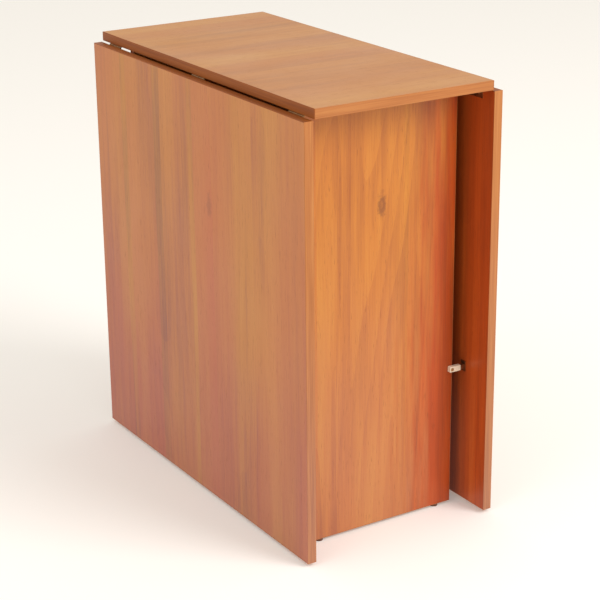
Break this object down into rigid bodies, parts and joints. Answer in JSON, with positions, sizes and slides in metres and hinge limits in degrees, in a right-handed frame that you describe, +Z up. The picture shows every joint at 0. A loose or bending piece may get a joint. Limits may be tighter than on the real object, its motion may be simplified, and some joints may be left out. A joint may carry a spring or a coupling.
{
  "type": "gateleg table",
  "caption": "Narrow drop-leaf gateleg table of wood-grain laminated board: fixed top, hanging leaves on butt hinges, and gates that swing from the centre panel.",
  "frame": {"origin": "on the floor, below the middle of the closed table", "axes": "+Z up, Y along the hinge lines and the table's length, X across the narrow top; -Y is the front end, +X the right leaf"},
  "size_m": [0.368, 0.7, 0.75],
  "materials": {
    "laminate_top": "satin wood-grain laminate",
    "laminate_board": "satin wood-grain laminate",
    "edge_banding": "satin wood-grain edge banding",
    "beech_dowel": "raw fluted beech",
    "hinge_steel": "bronze-lacquered pressed steel",
    "hinge_screw": "yellow zinc-plated steel",
    "glide_plastic": "moulded brown plastic",
    "felt_pad": "pressed felt",
    "catch_plastic": "moulded pale plastic"
  },
  "bodies": {
    "carcass": {"carcass_dowels": "beech_dowel", "catch_blocks": "catch_plastic", "catch_screws": "hinge_screw", "centre_panel": "laminate_board", "end_panel_front": "laminate_board", "end_panel_front_edging": "edge_banding", "end_panel_rear": "laminate_board", "end_panel_rear_edging": "edge_banding", "floor_glides": "glide_plastic", "gate_hinge_pins_left": "hinge_steel", "gate_hinge_pins_right": "hinge_steel", "gate_hinge_plates_centre_left": "hinge_steel", "gate_hinge_plates_centre_right": "hinge_steel", "gate_hinge_screws_centre_left": "hinge_screw", "gate_hinge_screws_centre_right": "hinge_screw", "leaf_hinge_pins_left": "hinge_steel", "leaf_hinge_pins_right": "hinge_steel", "leaf_hinge_plates_top_left": "hinge_steel", "leaf_hinge_plates_top_right": "hinge_steel", "leaf_hinge_screws_top_left": "hinge_screw", "leaf_hinge_screws_top_right": "hinge_screw", "top_panel": "laminate_top", "top_panel_edging": "edge_banding"},
    "leaf_left": {"leaf_left": "laminate_board", "leaf_left_edging": "edge_banding", "leaf_left_hinge_plates": "hinge_steel", "leaf_left_hinge_screws": "hinge_screw", "leaf_left_keeper": "hinge_steel"},
    "leaf_right": {"leaf_right": "laminate_board", "leaf_right_edging": "edge_banding", "leaf_right_hinge_plates": "hinge_steel", "leaf_right_hinge_screws": "hinge_screw", "leaf_right_keeper": "hinge_steel"},
    "gate_left": {"gate_left_dowels": "beech_dowel", "gate_left_glide": "glide_plastic", "gate_left_hinge_plates": "hinge_steel", "gate_left_hinge_screws": "hinge_screw", "gate_left_hinge_stile": "laminate_board", "gate_left_leg": "laminate_board", "gate_left_lower_rail": "laminate_board", "gate_left_rest_pad": "felt_pad", "gate_left_upper_rail": "laminate_board"},
    "gate_right": {"gate_right_dowels": "beech_dowel", "gate_right_glide": "glide_plastic", "gate_right_hinge_plates": "hinge_steel", "gate_right_hinge_screws": "hinge_screw", "gate_right_hinge_stile": "laminate_board", "gate_right_leg": "laminate_board", "gate_right_lower_rail": "laminate_board", "gate_right_rest_pad": "felt_pad", "gate_right_upper_rail": "laminate_board"}
  },
  "joints": [
    {"name": "leaf_left_lift", "type": "hinge", "parent": "carcass", "child": "leaf_left", "pos_m": [-0.16625, 0, 0.7322], "axis": [0, 1, 0], "range_deg": [0, 90]},
    {"name": "leaf_right_lift", "type": "hinge", "parent": "carcass", "child": "leaf_right", "pos_m": [0.16625, 0, 0.7322], "axis": [0, -1, 0], "range_deg": [0, 90]},
    {"name": "gate_left_swing", "type": "hinge", "parent": "carcass", "child": "gate_left", "pos_m": [-0.0098, -0.2507, 0.405], "axis": [0, 0, 1], "range_deg": [0, 15]},
    {"name": "gate_right_swing", "type": "hinge", "parent": "carcass", "child": "gate_right", "pos_m": [0.0098, 0.2507, 0.405], "axis": [0, 0, 1], "range_deg": [0, 15]}
  ]
}
